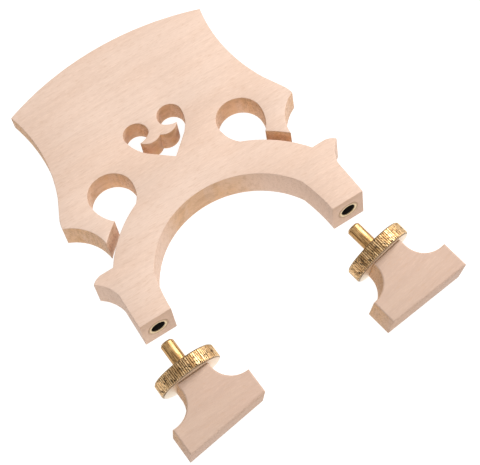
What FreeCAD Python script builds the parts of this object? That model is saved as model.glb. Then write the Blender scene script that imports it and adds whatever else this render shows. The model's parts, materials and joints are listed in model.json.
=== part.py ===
"""Double-bass bridge with two height adjusters, laid out on a bench.

The carved bridge lies on its back.  Below each leg lies the adjuster that belongs to it: a maple
foot with a threaded brass insert, and a brass spindle with a knurled wheel.  The spindle's plain
post fits the brass sleeve in the leg; its thread turns in the foot.  An adjuster is wider at its
wheel than at its foot, so it lies on the wheel's rim and on the back edge of the sole.

Millimetres.  Origin: middle of the web between arch and heart, on the bridge's back face, which
lies on the bench.  +X runs across the bridge, +Y towards the string edge, +Z out of the bench.
"""
import FreeCAD, Part
import math
import os
import re
import Sketcher
from FreeCAD import Vector

doc = FreeCAD.newDocument("bass_bridge")

# ---------------------------------------------------------------- driving dimensions
# Points of the outline are given as "across", from the centre line, and "up", from the leg ends.
DIMENSIONS = {
    # blank
    "leg_thickness": 20.8,
    "edge_thickness": 8.6,
    "wedge_overrun": 1.1,
    # string edge and flanks
    "crown_up": 154.2,
    "crown_radius": 145.0,
    "corner_across": 56.8,
    "corner_up": 142.6,
    "waist_radius": 98.0,
    "flank_across": 59.8,
    "flank_up": 85.5,
    # ears
    "ear_top_across": 64.4,
    "ear_top_up": 75.4,
    "ear_end_radius": 20.0,
    "ear_tip_across": 66.4,
    "ear_tip_up": 68.5,
    "ear_hollow_radius": 24.0,
    "ear_heel_up": 48.4,
    # bow, the arched beam between the legs
    "arch_radius": 46.8,
    "bow_radius": 66.5,
    "slot_width": 5.0,
    "arch_foot_up": 21.5,
    "leg_hollow_radius": 110.0,
    # eyes
    "eye_across": 37.1,
    "eye_up": 71.7,
    "eye_radius": 11.75,
    "eye_side_radius": 21.9,
    "eye_mouth_up": 57.0,
    "eye_corner_up": 59.4,
    "eye_corner_radius": 16.0,
    "eye_inner_up": 69.0,
    # legs
    "leg_inner_across": 44.8,
    "leg_outer_across": 62.0,
    "spike_root_across": 61.5,
    "spike_root_up": 20.3,
    "spike_hollow_radius": 19.0,
    "spike_tip_across": 68.8,
    "spike_tip_up": 32.3,
    "spike_back_radius": 9.0,
    "spike_top_across": 63.5,
    "spike_top_up": 35.2,
    # heart
    "heart_tip_up": 71.2,
    "heart_side_across": 10.5,
    "heart_side_up": 81.0,
    "heart_side_radius": 22.0,
    "lobe_across": 9.8,
    "lobe_up": 94.6,
    "lobe_radius": 6.5,
    "neck_across": 3.9,
    "tongue_side_radius": 9.0,
    "tongue_tip_across": 10.7,
    "tongue_tip_up": 88.6,
    "tongue_lip_radius": 7.0,
    "tongue_notch_up": 87.0,
    # leg sleeves
    "bore_across": 53.4,
    "sleeve_outer_radius": 5.5,
    "sleeve_bore_radius": 3.65,
    "sleeve_length": 20.0,
    "sleeve_chamfer": 0.3,
    # feet
    "foot_thickness": 21.0,
    "foot_neck_width": 17.2,
    "foot_outer_reach": 22.2,
    "foot_inner_reach": 21.7,
    "foot_flare_radius": 12.0,
    "foot_outer_top": 15.7,
    "foot_inner_top": 13.1,
    "foot_outer_height": 29.6,
    "foot_inner_height": 25.8,
    "foot_edge_break": 0.6,
    # foot inserts
    "insert_outer_radius": 5.5,
    "insert_bore_radius": 4.05,
    "insert_length": 15.0,
    "stud_hole_depth": 22.0,
    # spindles
    "post_radius": 3.5,
    "post_tip": 20.7,
    "post_chamfer": 0.9,
    "stud_radius": 4.0,
    "stud_length": 20.0,
    "thread_pitch": 1.25,
    "thread_depth": 0.7,
    # wheels
    "wheel_radius": 16.2,
    "wheel_thickness": 7.4,
    "wheel_gap": 0.1,
    "wheel_seat_radius": 3.7,
    "wheel_bore_radius": 3.75,
    "wheel_chamfer": 0.7,
    "knurl_depth": 0.45,
    "knurl_count": 96,
    "knurl_notch_share": 0.4,
    "cutter_overrun": 0.05,
    # lay-out on the bench
    "web_up": 59.0,
    "left_unit_across": 54.1,
    "left_unit_down": 33.0,
    "left_unit_yaw": 3.7,
    "right_unit_across": 51.4,
    "right_unit_down": 32.6,
    "right_unit_yaw": 11.5,
}

TOLERANCE = 1e-6
LEAST_CUT_VOLUME = 0.01

sheet = doc.addObject("Spreadsheet::Sheet", "dimensions")
for row, (name, value) in enumerate(DIMENSIONS.items(), start=1):
    sheet.set(f"A{row}", name)
    sheet.set(f"B{row}", str(value))
    sheet.setAlias(f"B{row}", name)
doc.recompute()


def dim(name):
    """Value of one driving dimension."""
    return float(getattr(sheet, name))


def on_sheet(formula):
    """Formula with each of the sheet's names spelled in full."""
    return re.sub(r"[a-z_]+", lambda m: f"dimensions.{m[0]}" if m[0] in DIMENSIONS else m[0], formula)


def value(formula):
    """Number that a formula on the sheet gives."""
    return float(sheet.evalExpression(on_sheet(formula)))


def bind(target, prop, formula):
    """Tie a property to a formula on the sheet."""
    target.setExpression(prop, on_sheet(formula))


# ---------------------------------------------------------------- sketches and features
def new_body(label):
    body = doc.addObject("PartDesign::Body", label)
    body.Label = label
    return body


def origin_part(body, role):
    """One of the planes or axes of the body's own origin."""
    return next(o for o in body.Origin.OriginFeatures if o.Role == role)


def new_sketch(body, name, role):
    """Empty sketch on one of the body's own origin planes."""
    sketch = body.newObject("Sketcher::SketchObject", f"{body.Name}_{name}")
    sketch.AttachmentSupport = [(origin_part(body, role), "")]
    sketch.MapMode = "FlatFace"
    return sketch


def new_feature(body, kind, name, profile=None, **properties):
    """PartDesign feature on the body, with its properties set."""
    feature = body.newObject(f"PartDesign::{kind}", f"{body.Name}_{name}")
    if profile is not None:
        feature.Profile = profile
    for prop, setting in properties.items():
        setattr(feature, prop, setting)
    return feature


def arc_middle(start, end, radius, bulge):
    """Middle of the short arc from start to end; bulge +1 is to the left of the way."""
    chord = end - start
    rise = radius - math.sqrt(radius ** 2 - chord.Length ** 2 / 4)
    left = Vector(-chord.y, chord.x, 0).normalize()
    return (start + end) / 2 + left * rise * bulge


def hold(sketch, kind, geometry, point, formula, side=1):
    """Hold a point's coordinate or an arc's radius at a formula on the sheet."""
    size = value(formula) * side
    if kind == "Radius":
        index = sketch.addConstraint(Sketcher.Constraint(kind, geometry, size))
    elif abs(size) < TOLERANCE:
        axis = -2 if kind == "DistanceX" else -1
        sketch.addConstraint(Sketcher.Constraint("PointOnObject", geometry, point, axis))
        return
    else:
        index = sketch.addConstraint(Sketcher.Constraint(kind, -1, 1, geometry, point, size))
    bind(sketch, f"Constraints[{index}]", formula if side > 0 else f"-1 * ({formula})")


def trace(sketch, path, side=1):
    """Draw a closed outline, every point and radius of it tied to the sheet.

    path is a list of (across, up, edge), all formulas on the sheet.  edge is the way to the next
    point: None is a line, ("arc", radius, bulge) a short arc, and ("round", radius, across, up) an
    arc through that point.  side -1 draws the outline's mirror image.
    """
    corners = [Vector(value(across) * side, value(up), 0) for across, up, _ in path]
    ends = []
    for number, (_, _, edge) in enumerate(path):
        start = corners[number]
        end = corners[(number + 1) % len(path)]
        if edge is None:
            geometry = sketch.addGeometry(Part.LineSegment(start, end))
        elif edge[0] == "arc":
            middle = arc_middle(start, end, value(edge[1]), edge[2] * side)
            geometry = sketch.addGeometry(Part.Arc(start, middle, end))
        else:
            middle = Vector(value(edge[2]) * side, value(edge[3]), 0)
            geometry = sketch.addGeometry(Part.Arc(start, middle, end))
        forward = (sketch.getPoint(geometry, 1) - start).Length < TOLERANCE
        ends.append((geometry, 1, 2) if forward else (geometry, 2, 1))
    for number, (across, up, edge) in enumerate(path):
        previous, _, last = ends[number - 1]
        geometry, first, _ = ends[number]
        sketch.addConstraint(Sketcher.Constraint("Coincident", previous, last, geometry, first))
        hold(sketch, "DistanceX", geometry, first, across, side)
        hold(sketch, "DistanceY", geometry, first, up)
        if edge is not None:
            hold(sketch, "Radius", geometry, 0, edge[1])


def draw_circle(sketch, across, up, radius, side=1):
    """Circle with its centre and radius tied to the sheet."""
    centre = Vector(value(across) * side, value(up), 0)
    circle = sketch.addGeometry(Part.Circle(centre, Vector(0, 0, 1), value(radius)))
    hold(sketch, "DistanceX", circle, 3, across, side)
    hold(sketch, "DistanceY", circle, 3, up)
    hold(sketch, "Radius", circle, 0, radius)


def cut(body, kind, name, sketch, depth=None, **properties):
    """Pocket or Groove that has to take material away."""
    doc.recompute()
    before = body.Tip.Shape.Volume
    feature = new_feature(body, kind, name, sketch, **properties)
    if depth is not None:
        bind(feature, "Length", depth)
    doc.recompute()
    if not feature.Shape.Volume < before - LEAST_CUT_VOLUME:
        raise RuntimeError(f"{feature.Name} cuts nothing")
    return feature


def break_edges(body, size):
    """Small chamfer round the body's front and back faces."""
    doc.recompute()
    broad = [
        f"Face{number}"
        for number, face in enumerate(body.Tip.Shape.Faces, start=1)
        if isinstance(face.Surface, Part.Plane) and abs(face.normalAt(0, 0).z) > 1 - TOLERANCE
    ]
    base = body.Tip
    chamfer = new_feature(body, "Chamfer", "broken_edges", Base=(base, broad))
    bind(chamfer, "Size", size)
    doc.recompute()
    if not chamfer.Shape.Volume < base.Shape.Volume:
        raise RuntimeError(f"{chamfer.Name} breaks no edge")


# ---------------------------------------------------------------- bridge
ON_BOW = "sqrt(bow_radius^2 - {}^2)"
ON_SLOT = "sqrt((bow_radius + slot_width)^2 - {}^2)"

RIGHT_HALF = [
    ("0", "arch_radius", ("arc", "arch_radius", 1)),
    ("sqrt(arch_radius^2 - arch_foot_up^2)", "arch_foot_up", ("arc", "leg_hollow_radius", 1)),
    ("leg_inner_across", "0", None),
    ("leg_outer_across", "0", None),
    ("spike_root_across", "spike_root_up", ("arc", "spike_hollow_radius", 1)),
    ("spike_tip_across", "spike_tip_up", ("arc", "spike_back_radius", -1)),
    ("spike_top_across", "spike_top_up", None),
    (ON_BOW.format("spike_top_up"), "spike_top_up", ("arc", "bow_radius", -1)),
    (ON_BOW.format("eye_corner_up"), "eye_corner_up", ("arc", "eye_corner_radius", 1)),
    ("eye_across - sqrt(eye_radius^2 - (eye_up - eye_inner_up)^2)", "eye_inner_up",
     ("round", "eye_radius", "eye_across", "eye_up + eye_radius")),
    ("eye_across + eye_radius", "eye_up", ("arc", "eye_side_radius", 1)),
    (ON_SLOT.format("eye_mouth_up"), "eye_mouth_up", ("arc", "bow_radius + slot_width", 1)),
    (ON_SLOT.format("ear_heel_up"), "ear_heel_up", ("arc", "ear_hollow_radius", 1)),
    ("ear_tip_across", "ear_tip_up", ("arc", "ear_end_radius", -1)),
    ("ear_top_across", "ear_top_up", None),
    ("flank_across", "flank_up", ("arc", "waist_radius", 1)),
    ("corner_across", "corner_up", ("arc", "crown_radius", -1)),
    ("0", "crown_up", None),
]

HEART_HALF = [
    ("0", "heart_tip_up", None),
    ("heart_side_across", "heart_side_up", ("arc", "heart_side_radius", -1)),
    ("lobe_across + lobe_radius", "lobe_up",
     ("round", "lobe_radius", "lobe_across", "lobe_up + lobe_radius")),
    ("neck_across", "lobe_up - sqrt(lobe_radius^2 - (lobe_across - neck_across)^2)",
     ("arc", "tongue_side_radius", -1)),
    ("tongue_tip_across", "tongue_tip_up", ("arc", "tongue_lip_radius", 1)),
    ("0", "tongue_notch_up", None),
]


def make_bridge():
    """The carved maple bridge: half a blank, cut and tapered, then mirrored at the centre line."""
    body = new_body("bridge_body")
    outline = new_sketch(body, "outline", "XY_Plane")
    trace(outline, RIGHT_HALF)
    blank = new_feature(body, "Pad", "blank", outline)
    bind(blank, "Length", "leg_thickness")

    heart = new_sketch(body, "heart", "XY_Plane")
    trace(heart, HEART_HALF)
    cut(body, "Pocket", "heart_cut", heart, Type="ThroughAll", Midplane=True)

    # The back stays flat; the front is planed down from the legs to the string edge.
    wedge = new_sketch(body, "taper", "YZ_Plane")
    trace(wedge, [
        ("0", "leg_thickness", None),
        ("crown_up * wedge_overrun",
         "leg_thickness - (leg_thickness - edge_thickness) * wedge_overrun", None),
        ("crown_up * wedge_overrun", "leg_thickness * wedge_overrun", None),
        ("0", "leg_thickness * wedge_overrun", None),
    ])
    cut(body, "Pocket", "planed_front", wedge, Type="ThroughAll", Midplane=True)

    bore = new_sketch(body, "bore", "XZ_Plane")
    draw_circle(bore, "bore_across", "leg_thickness / 2", "sleeve_outer_radius")
    cut(body, "Pocket", "sleeve_bore", bore, "sleeve_length")

    mirrored = new_feature(body, "Mirrored", "both_halves")
    mirrored.TransformMode = "Whole shape"
    mirrored.MirrorPlane = (origin_part(body, "YZ_Plane"), [""])
    body.Tip = mirrored
    doc.recompute()
    body.Placement = FreeCAD.Placement(Vector(0, -dim("web_up"), 0), FreeCAD.Rotation())
    return body


# ---------------------------------------------------------------- leg sleeves
def make_sleeve(label, side):
    """Plain brass sleeve glued into a leg; its mouth is flush with the leg's end."""
    body = new_body(label)
    wall = new_sketch(body, "wall", "XY_Plane")
    trace(wall, [
        ("sleeve_bore_radius + sleeve_chamfer", "0", None),
        ("sleeve_outer_radius", "0", None),
        ("sleeve_outer_radius", "sleeve_length", None),
        ("sleeve_bore_radius", "sleeve_length", None),
        ("sleeve_bore_radius", "sleeve_chamfer", None),
    ])
    new_feature(body, "Revolution", "turned", wall, ReferenceAxis=(wall, ["V_Axis"]), Angle=360)
    place = Vector(side * dim("bore_across"), -dim("web_up"), dim("leg_thickness") / 2)
    body.Placement = FreeCAD.Placement(place, FreeCAD.Rotation())
    return body


# ---------------------------------------------------------------- adjusters
# Each piece of an adjuster is drawn in the adjuster's own frame: the origin is the middle of the
# foot's neck, +Y runs up the spindle, +Z is the front.  side is -1 on the left and +1 on the right,
# and the foot's longer end is always the outer one.
FOOT = [
    ("foot_neck_width / 2", "0", None),
    ("-1 * foot_neck_width / 2", "0", None),
    ("-1 * foot_neck_width / 2", "foot_flare_radius - foot_inner_top", ("arc", "foot_flare_radius", 1)),
    ("-1 * foot_neck_width / 2 - foot_flare_radius", "-1 * foot_inner_top", None),
    ("-1 * foot_inner_reach", "-1 * foot_inner_top", None),
    ("-1 * foot_inner_reach", "-1 * foot_inner_height", None),
    ("foot_outer_reach", "-1 * foot_outer_height", None),
    ("foot_outer_reach", "-1 * foot_outer_top", None),
    ("foot_neck_width / 2 + foot_flare_radius", "-1 * foot_outer_top", ("arc", "foot_flare_radius", 1)),
    ("foot_neck_width / 2", "foot_flare_radius - foot_outer_top", None),
]


def make_foot(label, side):
    """Maple foot: a waisted block with a slanted sole and a blind hole for insert and stud."""
    body = new_body(label)
    profile = new_sketch(body, "profile", "XY_Plane")
    trace(profile, FOOT, side)
    block = new_feature(body, "Pad", "block", profile, Midplane=True)
    bind(block, "Length", "foot_thickness")
    break_edges(body, "foot_edge_break")
    seat = new_sketch(body, "seat", "XZ_Plane")
    draw_circle(seat, "0", "0", "insert_outer_radius")
    cut(body, "Pocket", "insert_seat", seat, "insert_length", Reversed=True)
    drill = new_sketch(body, "drill", "XZ_Plane")
    draw_circle(drill, "0", "0", "insert_bore_radius")
    cut(body, "Pocket", "stud_hole", drill, "stud_hole_depth", Reversed=True)
    return body


def make_insert(label):
    """Brass insert glued into the neck of a foot."""
    body = new_body(label)
    wall = new_sketch(body, "wall", "XY_Plane")
    trace(wall, [
        ("insert_bore_radius", "0", None),
        ("insert_bore_radius", "-1 * insert_length", None),
        ("insert_outer_radius", "-1 * insert_length", None),
        ("insert_outer_radius", "0", None),
    ])
    new_feature(body, "Revolution", "turned", wall, ReferenceAxis=(wall, ["V_Axis"]), Angle=360)
    return body


def make_spindle(label):
    """Brass spindle: a plain post above the wheel, a threaded stud below it."""
    body = new_body(label)
    profile = new_sketch(body, "profile", "XY_Plane")
    trace(profile, [
        ("0", "-1 * stud_length", None),
        ("stud_radius - thread_depth", "-1 * stud_length", None),
        ("stud_radius", "thread_depth - stud_length", None),
        ("stud_radius", "0", None),
        ("wheel_seat_radius", "0", None),
        ("wheel_seat_radius", "wheel_gap + wheel_thickness", None),
        ("post_radius", "wheel_gap + wheel_thickness", None),
        ("post_radius", "post_tip - post_chamfer", None),
        ("post_radius - post_chamfer", "post_tip", None),
        ("0", "post_tip", None),
    ])
    new_feature(body, "Revolution", "turned", profile, ReferenceAxis=(profile, ["V_Axis"]), Angle=360)
    # Rings of the thread's own section stand in for its helix.
    root = new_sketch(body, "root", "XY_Plane")
    trace(root, [
        ("stud_radius - thread_depth", "-1 * thread_pitch", None),
        ("stud_radius + cutter_overrun", "-1 * thread_pitch - thread_pitch / 2", None),
        ("stud_radius + cutter_overrun", "thread_pitch / 2 - thread_pitch", None),
    ])
    ring = cut(body, "Groove", "thread_root", root, ReferenceAxis=(root, ["V_Axis"]), Angle=360)
    thread = new_feature(body, "LinearPattern", "thread")
    thread.Originals = [ring]
    thread.Direction = (root, ["V_Axis"])
    thread.Reversed = True
    turns = int((dim("stud_length") - dim("thread_depth")) / dim("thread_pitch")) - 1
    thread.Occurrences = turns
    bind(thread, "Length", f"thread_pitch * {turns - 1}")
    body.Tip = thread
    return body


def make_wheel(label):
    """Brass wheel with a straight knurl, on the spindle's seat between post and stud."""
    body = new_body(label)
    profile = new_sketch(body, "profile", "XY_Plane")
    top = "wheel_gap + wheel_thickness"
    trace(profile, [
        ("wheel_bore_radius", "wheel_gap", None),
        ("wheel_radius - wheel_chamfer", "wheel_gap", None),
        ("wheel_radius", "wheel_gap + wheel_chamfer", None),
        ("wheel_radius", f"{top} - wheel_chamfer", None),
        ("wheel_radius - wheel_chamfer", top, None),
        ("wheel_bore_radius", top, None),
    ])
    new_feature(body, "Revolution", "turned", profile, ReferenceAxis=(profile, ["V_Axis"]), Angle=360)
    notch = new_sketch(body, "notch", "XZ_Plane")
    half_notch = "knurl_notch_share * pi * wheel_radius / knurl_count"
    trace(notch, [
        ("0", "wheel_radius - knurl_depth", None),
        (half_notch, "wheel_radius + cutter_overrun", None),
        (f"-1 * {half_notch}", "wheel_radius + cutter_overrun", None),
    ])
    first = cut(body, "Pocket", "knurl_notch", notch, Type="ThroughAll", Midplane=True)
    knurl = new_feature(body, "PolarPattern", "knurl")
    knurl.Originals = [first]
    knurl.Axis = (notch, ["N_Axis"])
    knurl.Angle = 360
    knurl.Occurrences = int(dim("knurl_count"))
    body.Tip = knurl
    return body


def lay_down(pieces, name, side):
    """Lay an adjuster on the bench: the wheel's rim and the sole's back edge bear on it."""
    sole_slope = value("(foot_outer_height - foot_inner_height) / (foot_outer_reach + foot_inner_reach)")
    wheel_stands_out = value("wheel_radius - foot_thickness / 2")
    sole_reach = value("foot_outer_height - foot_edge_break") - sole_slope * dim("foot_outer_reach")
    rim_to_sole = value("wheel_gap + wheel_chamfer") + sole_reach
    lean = math.atan(wheel_stands_out / rim_to_sole)
    roll = math.atan(sole_slope * math.tan(lean))
    turn = FreeCAD.Rotation(Vector(0, 0, 1), dim(f"{name}_unit_yaw"))
    turn = turn.multiply(FreeCAD.Rotation(Vector(1, 0, 0), math.degrees(lean)))
    turn = turn.multiply(FreeCAD.Rotation(Vector(0, 1, 0), math.degrees(-roll * side)))
    spot = Vector(side * dim(f"{name}_unit_across"), -dim(f"{name}_unit_down") - dim("web_up"), 0)
    for piece in pieces:
        piece.Placement = FreeCAD.Placement(spot, turn)
    doc.recompute()
    lowest = min(piece.Shape.optimalBoundingBox(False).ZMin for piece in pieces)
    for piece in pieces:
        piece.Placement = FreeCAD.Placement(spot - Vector(0, 0, lowest), turn)


# ---------------------------------------------------------------- the whole set
nodes = [make_bridge()]
for name, side in (("left", -1), ("right", 1)):
    nodes.append(make_sleeve(f"{name}_leg_sleeve", side))
    adjuster = [
        make_foot(f"{name}_foot", side),
        make_insert(f"{name}_foot_insert"),
        make_spindle(f"{name}_spindle"),
        make_wheel(f"{name}_wheel"),
    ]
    doc.recompute()
    lay_down(adjuster, name, side)
    nodes += adjuster
doc.recompute()

for item in doc.Objects:
    if "Invalid" in item.State or "Error" in item.State:
        raise RuntimeError(f"{item.Name} failed: {item.State}")
os.makedirs("parts", exist_ok=True)
for node in nodes:
    if node.Shape.isNull() or not node.Shape.isValid():
        raise RuntimeError(f"{node.Label} has no valid shape")
for node in nodes:
    node.Shape.exportStep(f"parts/{node.Label}.step")
    box = node.Shape.BoundBox
    print(f"{node.Label}: {len(node.Shape.Solids)} solid, {node.Shape.Volume:.0f} mm3, "
          f"x {box.XMin:.1f}..{box.XMax:.1f}  y {box.YMin:.1f}..{box.YMax:.1f}  "
          f"z {box.ZMin:.2f}..{box.ZMax:.2f}")
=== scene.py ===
import json
import math

import bpy
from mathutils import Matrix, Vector


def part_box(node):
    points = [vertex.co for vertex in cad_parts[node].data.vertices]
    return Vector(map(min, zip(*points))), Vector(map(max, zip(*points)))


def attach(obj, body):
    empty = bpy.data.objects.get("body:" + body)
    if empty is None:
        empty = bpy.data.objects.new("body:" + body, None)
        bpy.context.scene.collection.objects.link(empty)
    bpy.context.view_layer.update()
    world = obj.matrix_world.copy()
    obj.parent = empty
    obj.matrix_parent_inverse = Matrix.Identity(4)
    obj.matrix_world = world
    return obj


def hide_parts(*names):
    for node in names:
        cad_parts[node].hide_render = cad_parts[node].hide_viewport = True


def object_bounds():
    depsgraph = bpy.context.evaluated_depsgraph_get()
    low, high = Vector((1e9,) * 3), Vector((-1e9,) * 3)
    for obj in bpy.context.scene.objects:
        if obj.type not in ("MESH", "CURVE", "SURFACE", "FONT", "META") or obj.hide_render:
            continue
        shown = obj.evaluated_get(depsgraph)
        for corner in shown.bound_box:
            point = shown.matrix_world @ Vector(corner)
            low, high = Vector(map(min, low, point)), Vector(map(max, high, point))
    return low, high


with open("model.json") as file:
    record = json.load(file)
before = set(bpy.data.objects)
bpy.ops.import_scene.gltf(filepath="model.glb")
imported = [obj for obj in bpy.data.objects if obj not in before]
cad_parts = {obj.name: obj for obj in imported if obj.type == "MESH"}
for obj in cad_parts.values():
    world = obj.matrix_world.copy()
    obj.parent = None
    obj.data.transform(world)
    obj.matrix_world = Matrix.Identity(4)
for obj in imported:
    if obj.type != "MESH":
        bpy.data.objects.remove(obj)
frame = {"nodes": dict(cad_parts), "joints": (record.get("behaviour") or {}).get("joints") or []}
cad_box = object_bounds()
bpy.ops.object.select_all(action="DESELECT")

# ---------------------------------------------------------------- camera
# A long lens stands above the bench on the side of the feet and looks down on the set, so that the
# broad faces, the leg ends and the rims of both wheels show together.
bpy.ops.object.camera_add(
    location=(-0.1141, -0.3430, 0.6428),
    rotation=(math.radians(26.21), math.radians(6.30), math.radians(-31.87)),
)
camera = bpy.context.object
camera.name = "camera"
camera.data.lens = 111.4
camera.data.sensor_width = 36.0
camera.data.shift_x = 0.0432
camera.data.shift_y = 0.0307
camera.data.clip_start = 0.01
bpy.context.scene.camera = camera
bpy.context.scene.view_settings.view_transform = "Standard"

# ---------------------------------------------------------------- bench and light
# The set lies on a plain white bench that glows softly from below, as on a light table, under one
# large soft lamp from the right and a weaker one from the front.


class Tone:
    """One value of a finish: a socket of its nodes.  A sum written with it adds Math nodes."""

    def __init__(self, tree, socket=None):
        self.tree = tree
        self.socket = socket

    def node(self, kind, inputs, output=0, **settings):
        """Add a node: its settings first, then the value or the link of each input."""
        made = self.tree.nodes.new(kind)
        for name, setting in settings.items():
            setattr(made, name, setting)
        for name, given in inputs.items():
            if isinstance(given, Tone):
                self.tree.links.new(given.socket, made.inputs[name])
            else:
                made.inputs[name].default_value = given
        return Tone(self.tree, made.outputs[output])

    def math(self, operation, *values):
        return self.node("ShaderNodeMath", dict(enumerate(values)), operation=operation)

    def __add__(self, other):
        return self.math("ADD", self, other)

    def __radd__(self, other):
        return self.math("ADD", other, self)

    def __sub__(self, other):
        return self.math("SUBTRACT", self, other)

    def __rsub__(self, other):
        return self.math("SUBTRACT", other, self)

    def __mul__(self, other):
        return self.math("MULTIPLY", self, other)

    def __rmul__(self, other):
        return self.math("MULTIPLY", other, self)

    def __abs__(self):
        return self.math("ABSOLUTE", self)

    def rise(self, low, high):
        """0 below low, 1 above high, and a smooth way between them."""
        limits = {"Value": self, "From Min": low, "From Max": high}
        return self.node("ShaderNodeMapRange", limits, interpolation_type="SMOOTHSTEP")

    def noise(self, stretch, detail=2.0, roughness=0.5):
        """Noise over a place, stretched by three frequencies."""
        place = self.node("ShaderNodeVectorMath", {0: self, 1: stretch}, operation="MULTIPLY")
        sizes = {"Vector": place, "Scale": 1.0, "Detail": detail, "Roughness": roughness}
        return self.node("ShaderNodeTexNoise", sizes)

    def mix(self, base, tint):
        """The base colour, turned to the tint where this value is 1."""
        return self.node("ShaderNodeMix", {0: self, 6: base, 7: tint}, 2, data_type="RGBA")

    def axes(self):
        """The three parts of a vector."""
        split = self.tree.nodes.new("ShaderNodeSeparateXYZ")
        self.tree.links.new(self.socket, split.inputs[0])
        return [Tone(self.tree, part) for part in split.outputs]


mm = 0.001


def new_finish(name, centre=(0, 0, 0), turn=(0, 0, 0)):
    """An empty material, with the place in mm and the normal, both in the piece's own axes."""
    material = bpy.data.materials.new(name)
    material.use_nodes = True
    start = Tone(material.node_tree)
    place = start.node("ShaderNodeTexCoord", {}, "Object")
    place = place.node(
        "ShaderNodeMapping",
        {"Vector": place, "Location": centre, "Rotation": turn, "Scale": (mm, mm, mm)},
        vector_type="TEXTURE",
    )
    normal = start.node("ShaderNodeTexCoord", {}, "Normal")
    normal = normal.node("ShaderNodeMapping", {"Vector": normal, "Rotation": turn}, vector_type="TEXTURE")
    return material, place, normal


def set_surface(material, constants, patterns, height, depth):
    """Plain numbers and patterns of the surface, and a relief of that height pattern, depth in mm."""
    surface = material.node_tree.nodes["Principled BSDF"]
    for name, number in constants.items():
        surface.inputs[name].default_value = number
    relief = height.node("ShaderNodeBump", {"Height": height, "Strength": 1.0, "Distance": depth * mm})
    for name, pattern in {**patterns, "Normal": relief}.items():
        material.node_tree.links.new(pattern.socket, surface.inputs[name])


bpy.ops.mesh.primitive_plane_add(size=8.0, location=(0, 0, cad_box[0][2]))
bench = bpy.context.object
bench.name = "bench"
bench_white, bench_place, _ = new_finish("bench_white")
speckle = bench_place.noise((0.02, 0.02, 0.02))
set_surface(
    bench_white,
    {"Base Color": (0.22, 0.22, 0.22, 1), "Emission Color": (1, 1, 1, 1), "Emission Strength": 0.93},
    {"Roughness": 0.75 + 0.1 * speckle},
    speckle,
    depth=0.01,
)
bench.data.materials.append(bench_white)


def soft_lamp(name, spot, size, power):
    """Square soft lamp that points at the middle of the set."""
    bpy.ops.object.light_add(type="AREA", location=spot)
    lamp = bpy.context.object
    lamp.name = name
    lamp.data.size = size
    lamp.data.energy = power
    lamp.rotation_euler = (-Vector(spot)).to_track_quat("-Z", "Y").to_euler()


soft_lamp("key_lamp", spot=(1.02, 0.24, 0.93), size=0.6, power=17.4)
soft_lamp("fill_lamp", spot=(-0.60, -1.00, 0.80), size=0.4, power=3.4)

world = bpy.data.worlds.new("studio")
world.use_nodes = True
bpy.context.scene.world = world
way = Tone(world.node_tree).node("ShaderNodeTexCoord", {}, "Generated")
dark_horizon = (0.10, 0.095, 0.09, 1)
pale_ceiling = (0.90, 0.91, 0.93, 1)
dome = way.axes()[2].rise(0.10, 0.75).mix(dark_horizon, pale_ceiling)
world.node_tree.links.new(dome.socket, world.node_tree.nodes["Background"].inputs["Color"])
world.node_tree.nodes["Background"].inputs["Strength"].default_value = 0.75

# ---------------------------------------------------------------- bridge
# One piece of unvarnished maple, sawn to its outline and planed thinner towards the string edge.
# The grain runs across it, from ear to ear; the sawn walls are darker and show the end grain.
sawn_maple = (0.71, 0.425, 0.225, 1)
dark_ray = (0.60, 0.385, 0.255, 1)
growth_line = (0.42, 0.23, 0.11, 1)
open_pore = (0.34, 0.17, 0.075, 1)


def maple(name, planed_below, pale, warm, centre=(0, 0, 0), turn=(0, 0, 0)):
    """Bare maple with its grain along the piece's X axis and its broad faces square to Z.  The walls
    below the height planed_below, in mm, are planed and paler than the sawn ones."""
    material, place, normal = new_finish(name, centre, turn)
    _, up, _ = place.axes()
    planed = 1 - up.rise(planed_below, planed_below + 12)
    across, _, front = normal.axes()
    wall = 1 - abs(front).rise(0.35, 0.85)
    end = abs(across).rise(0.35, 0.9) * wall
    tone = place.noise((0.012, 0.05, 0.04)).rise(0.35, 0.65)
    bands = place.noise((0.02, 0.45, 0.15), 3.0).rise(0.40, 0.68)
    rays = place.noise((0.30, 1.7, 0.7), 2.0, 0.6)
    fibres = place.noise((0.5, 6.0, 6.0), 3.0, 0.6)
    pores = place.noise((0.6, 1.15, 0.9), 3.0, 0.75).rise(0.50, 0.60)
    growth = place.noise((0.03, 0.95, 0.22), 2.0, 0.6).rise(0.47, 0.66)
    bleached = place.noise((0.11, 0.11, 0.03)).rise(0.45, 0.62)
    dark_flecks = rays.rise(0.54, 0.70)
    pale_flecks = 1 - rays.rise(0.33, 0.46)
    dark_band = [0.91 * part for part in warm]
    silver_ray = [min(1, 1.14 * part) for part in pale]
    colour = tone.mix(pale, warm)
    colour = (bands * 0.40).mix(colour, dark_band)
    colour = (dark_flecks * 0.38 * (1 - wall)).mix(colour, dark_ray)
    colour = (pale_flecks * 0.35 * (1 - wall)).mix(colour, silver_ray)
    cut = planed.mix(sawn_maple, warm)
    cut = (bleached * 0.35).mix(cut, warm)
    # Painted light: walls that face +X, towards the key lamp, are painted paler and less orange.
    cut = (across.rise(0.2, 0.9) * 0.65).mix(cut, warm)
    colour = (wall * (0.75 + 0.25 * bands)).mix(colour, cut)
    colour = (growth * wall * (0.32 - 0.2 * planed)).mix(colour, growth_line)
    colour = (pores * wall * (0.15 + 0.35 * end) * (1 - 0.6 * planed)).mix(colour, open_pore)
    set_surface(
        material,
        {"Specular IOR Level": 0.35},
        {"Base Color": colour, "Roughness": 0.52 + 0.16 * fibres + 0.12 * wall},
        fibres * (0.5 + 0.5 * wall) - dark_flecks * 0.4 - pores * end,
        depth=0.06,
    )
    return material


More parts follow.
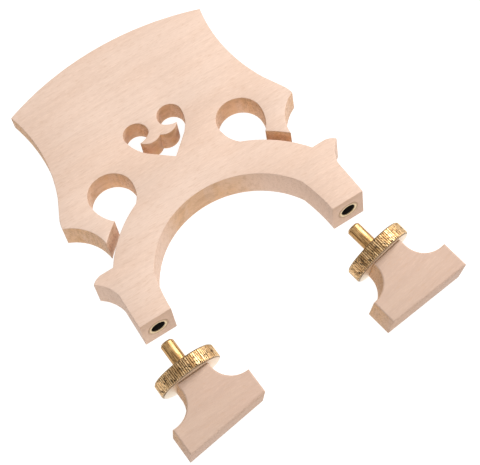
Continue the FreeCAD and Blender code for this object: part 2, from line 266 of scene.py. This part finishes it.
def rounded_copy(node, name, width):
    """A copy of a CAD node's mesh with its sharp edges rounded over, as by sandpaper, width in mm."""
    piece = bpy.data.objects.new(name, frame["nodes"][node].data.copy())
    bpy.context.scene.collection.objects.link(piece)
    bpy.context.view_layer.objects.active = piece
    piece.select_set(True)
    bpy.ops.object.mode_set(mode="EDIT")
    bpy.ops.mesh.select_all(action="SELECT")
    bpy.ops.mesh.remove_doubles(threshold=0.002 * mm)
    bpy.ops.object.mode_set(mode="OBJECT")
    bpy.ops.mesh.customdata_custom_splitnormals_clear()
    round_over = piece.modifiers.new("round_over", "BEVEL")
    round_over.width = width * mm
    round_over.segments = 3
    round_over.limit_method = "ANGLE"
    round_over.angle_limit = math.radians(28)
    round_over.use_clamp_overlap = False
    bpy.ops.object.modifier_apply(modifier=round_over.name)
    bpy.ops.object.shade_smooth_by_angle(angle=math.radians(40))
    piece.select_set(False)
    return piece


bridge = rounded_copy("bridge_body", "carved_bridge", width=0.30)
bridge.data.materials.clear()
bridge.data.materials.append(
    maple(
        "bridge_maple_finish",
        planed_below=-24,
        pale=(0.75, 0.557, 0.443, 1),
        warm=(0.73, 0.522, 0.402, 1),
    )
)
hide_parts("bridge_body")
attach(bridge, "set")

# ---------------------------------------------------------------- leg sleeves
# A plain tube of pale brass is glued into each leg, flush with the leg's end.  The rim is filed
# bright with the wood, inside a ring of old glue; down the bore it is painted near black, as painted
# shade.
filed_brass = (0.80, 0.66, 0.44, 1)
worn_brass = (0.66, 0.50, 0.30, 1)
old_glue = (0.50, 0.33, 0.20, 1)
bore_painted_shade = (0.012, 0.009, 0.006, 1)
glue_radius = 4.5


def sleeve_brass(side):
    """Filed brass at the leg's end, with glue past its radius in mm, and painted shade down the bore."""
    low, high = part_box(f"{side}_leg_sleeve")
    mouth = (Vector(low) + Vector(high)) / 2
    mouth.y = low[1]
    material, place, _ = new_finish(f"{side}_sleeve_finish", mouth)
    x, depth, z = place.axes()
    glue = depth.math("SQRT", x * x + z * z).rise(glue_radius, glue_radius + 0.2)
    # Painted shade: deeper than 0.6 mm the bore is painted near black and not metallic.
    bore_shade_mask = depth.rise(0.05, 0.6)
    marks = place.noise((3.0, 3.0, 3.0), 3.0)
    colour = marks.rise(0.4, 0.7).mix(filed_brass, worn_brass)
    colour = glue.mix(colour, old_glue)
    colour = bore_shade_mask.mix(colour, bore_painted_shade)
    bare = (1 - bore_shade_mask) * (1 - glue)
    dullness = 0.42 + 0.2 * marks + 0.2 * bore_shade_mask
    set_surface(
        material,
        {},
        {"Base Color": colour, "Metallic": bare, "Roughness": dullness},
        marks,
        depth=0.02,
    )
    return material


for side in ("left", "right"):
    sleeve = frame["nodes"][f"{side}_leg_sleeve"]
    sleeve.data.materials.clear()
    sleeve.data.materials.append(sleeve_brass(side))

# ---------------------------------------------------------------- feet
# A waisted maple block with a slanted sole, its edges sanded over.  The brass insert for the stud is
# glued into its neck.  Every foot lies tilted with its adjuster, so its grain follows that.


def adjuster_axes(side):
    """Origin and turn of an adjuster's own axes: Y runs up its spindle and Z out of the foot's front.
    They come from the joint of its wheel, whose axis is the spindle's."""
    joint = next(j for j in frame["joints"] if j["name"] == f"{side}_wheel_turn")
    axis = Vector(joint["axis"])
    return joint["pos_m"], (math.asin(axis.z), 0.0, math.atan2(-axis.x, axis.y))


for side in ("left", "right"):
    foot = rounded_copy(f"{side}_foot", f"{side}_shaped_foot", width=0.25)
    foot.data.materials.clear()
    foot.data.materials.append(
        maple(
            f"{side}_foot_maple_finish",
            -30,
            (0.615, 0.435, 0.330, 1),
            (0.60, 0.41, 0.31, 1),
            *adjuster_axes(side),
        )
    )
    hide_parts(f"{side}_foot")
    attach(foot, "set")

# ---------------------------------------------------------------- inserts, spindles and wheels
# Turned brass.  The spindle is drawn bar with lengthwise marks on its post; the wheel's rim has a
# straight knurl, with painted shade darkening its grooves, and lathe rings on its two faces.
spindle_brass = (0.71, 0.44, 0.19, 1), (0.38, 0.21, 0.08, 1)
wheel_brass = (1.0, 0.71, 0.39, 1), (0.78, 0.49, 0.22, 1)
# Flat brass faces that look down are painted pale, a painted reflection of the white bench; those that
# look up keep the faced colour.
floor_reflection_below = (0.93, 0.84, 0.70, 1)
faced_above = (0.84, 0.62, 0.33, 1)
streak_stain = (0.22, 0.11, 0.04, 1)
speck_stain = (0.05, 0.025, 0.012, 1)
groove_painted_shade = (0.10, 0.05, 0.02, 1)
knurl_bottom = 15.75
knurl_slope = 0.35


def turned_brass(name, side, bright, dull, streaks, specks, groove_shade_from=None):
    """Brass turned about the adjuster's Y axis, with lengthwise streaks and dark specks, and painted
    shade in the grooves that go down to that radius in mm."""
    material, place, normal = new_finish(name, *adjuster_axes(side))
    x, _, z = place.axes()
    radius = place.math("SQRT", x * x + z * z)
    _, upward, _ = normal.axes()
    flat = abs(upward).rise(0.6, 0.9)
    lengthwise = place.noise((1.6, 0.10, 1.6), 3.0, 0.6)
    blotch = place.noise((0.35, 0.35, 0.35), 3.0, 0.6)
    spots = place.noise((1.5, 0.7, 1.5), 3.0, 0.65)
    colour = lengthwise.rise(0.40, 0.60).mix(bright, dull)
    # Painted reflection: flat faces turn pale where they look down towards the white bench.
    colour = flat.mix(colour, upward.rise(-0.1, 0.1).mix(floor_reflection_below, faced_above))
    colour = (lengthwise.rise(0.50, 0.62) * streaks * (1 - flat)).mix(colour, streak_stain)
    dark = spots.rise(0.49, 0.55) * specks * (0.4 + 0.6 * blotch.rise(0.45, 0.60)) * (1 - flat)
    colour = dark.mix(colour, speck_stain)
    if groove_shade_from is not None:
        # Painted shade: the knurl's grooves, below that radius, are darkened towards near black.
        groove_shade_mask = 1 - radius.rise(groove_shade_from, groove_shade_from + knurl_slope)
        colour = (groove_shade_mask * 0.85 * (1 - flat)).mix(colour, groove_painted_shade)
    rings = radius.math("SINE", radius * 14.0)
    set_surface(
        material,
        {"Metallic": 1.0},
        {"Base Color": colour, "Roughness": 0.40 + 0.16 * lengthwise + 0.2 * dark},
        lengthwise * 0.6 + spots * specks + rings * flat * 0.1,
        depth=0.08,
    )
    return material


for side in ("left", "right"):
    for part, finish in (
        ("foot_insert", turned_brass(f"{side}_insert_finish", side, *spindle_brass, 0.2, 0.2)),
        ("spindle", turned_brass(f"{side}_spindle_finish", side, *spindle_brass, 0.6, 0.25)),
        ("wheel", turned_brass(f"{side}_wheel_finish", side, *wheel_brass, 0.5, 0.9, knurl_bottom)),
    ):
        brass_piece = frame["nodes"][f"{side}_{part}"]
        brass_piece.data.materials.clear()
        brass_piece.data.materials.append(finish)
